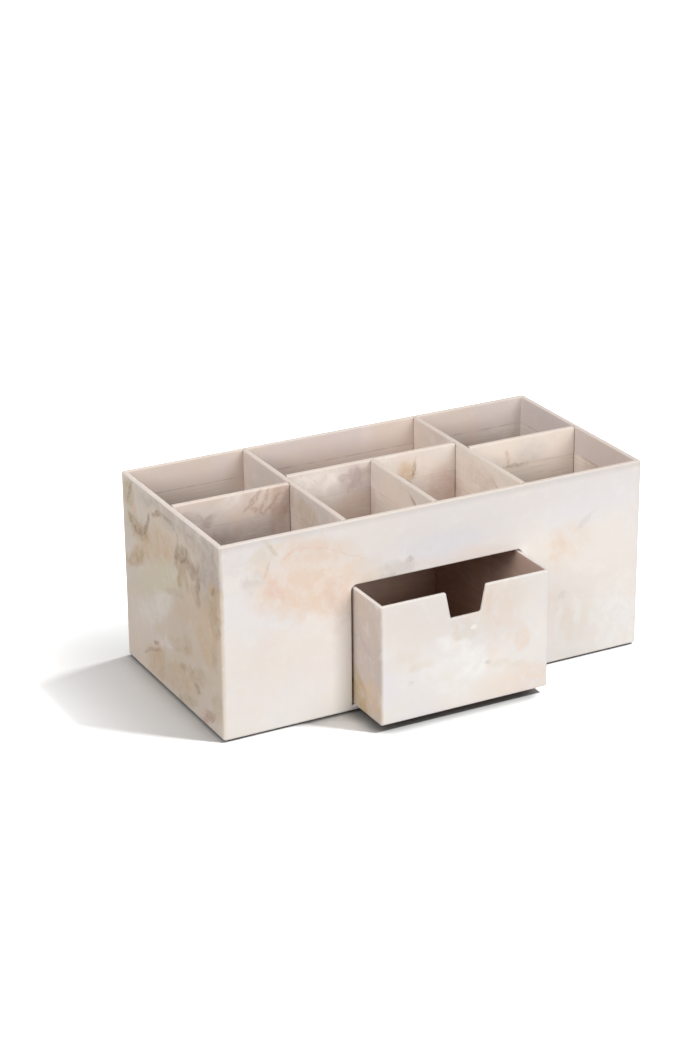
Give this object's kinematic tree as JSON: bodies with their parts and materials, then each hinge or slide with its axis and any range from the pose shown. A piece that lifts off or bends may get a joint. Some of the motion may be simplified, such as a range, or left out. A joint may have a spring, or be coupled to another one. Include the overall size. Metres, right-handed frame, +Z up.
{
  "type": "desk organiser",
  "caption": "Rectangular paper-covered desk organiser with open compartments, shallow trays in the middle, and a drawer with a finger notch that slides out of the front.",
  "frame": {"origin": "centre of the case's footprint, on the desk under the base sheet", "axes": "+X to the right seen from the drawer side, +Y to the back, +Z up; the drawer slides out along -Y"},
  "size_m": [0.25, 0.151, 0.108],
  "materials": {
    "printed_paper": "satin",
    "lining_paper": "satin",
    "greyboard": "matte",
    "base_sheet": "matte"
  },
  "bodies": {
    "case": {"base_board": "greyboard", "front_board": "greyboard", "back_board": "greyboard", "left_end_board": "greyboard", "right_end_board": "greyboard", "outer_wrap": "printed_paper", "inner_lining": "lining_paper", "underside_sheet": "lining_paper", "base_felt": "base_sheet", "shelf_board": "greyboard", "shelf_wrap": "lining_paper", "left_bay_panel_board": "greyboard", "left_bay_panel_lining": "lining_paper", "left_bay_panel_cap": "printed_paper", "right_bay_panel_board": "greyboard", "right_bay_panel_lining": "lining_paper", "right_bay_panel_cap": "printed_paper", "left_divider_board": "greyboard", "left_divider_lining": "lining_paper", "left_divider_cap": "printed_paper", "right_divider_board": "greyboard", "right_divider_lining": "lining_paper", "right_divider_cap": "printed_paper", "middle_divider_board": "greyboard", "middle_divider_lining": "lining_paper", "middle_divider_cap": "printed_paper", "short_divider_board": "greyboard", "short_divider_lining": "lining_paper", "short_divider_cap": "printed_paper"},
    "drawer": {"drawer_bottom_board": "greyboard", "drawer_front_board": "greyboard", "drawer_back_board": "greyboard", "drawer_left_board": "greyboard", "drawer_right_board": "greyboard", "drawer_wrap": "printed_paper", "drawer_lining": "lining_paper"}
  },
  "joints": [
    {"name": "drawer_slide", "type": "slide", "parent": "case", "child": "drawer", "axis": [0, -1, 0], "range_m": [-0.029, 0.07]}
  ]
}
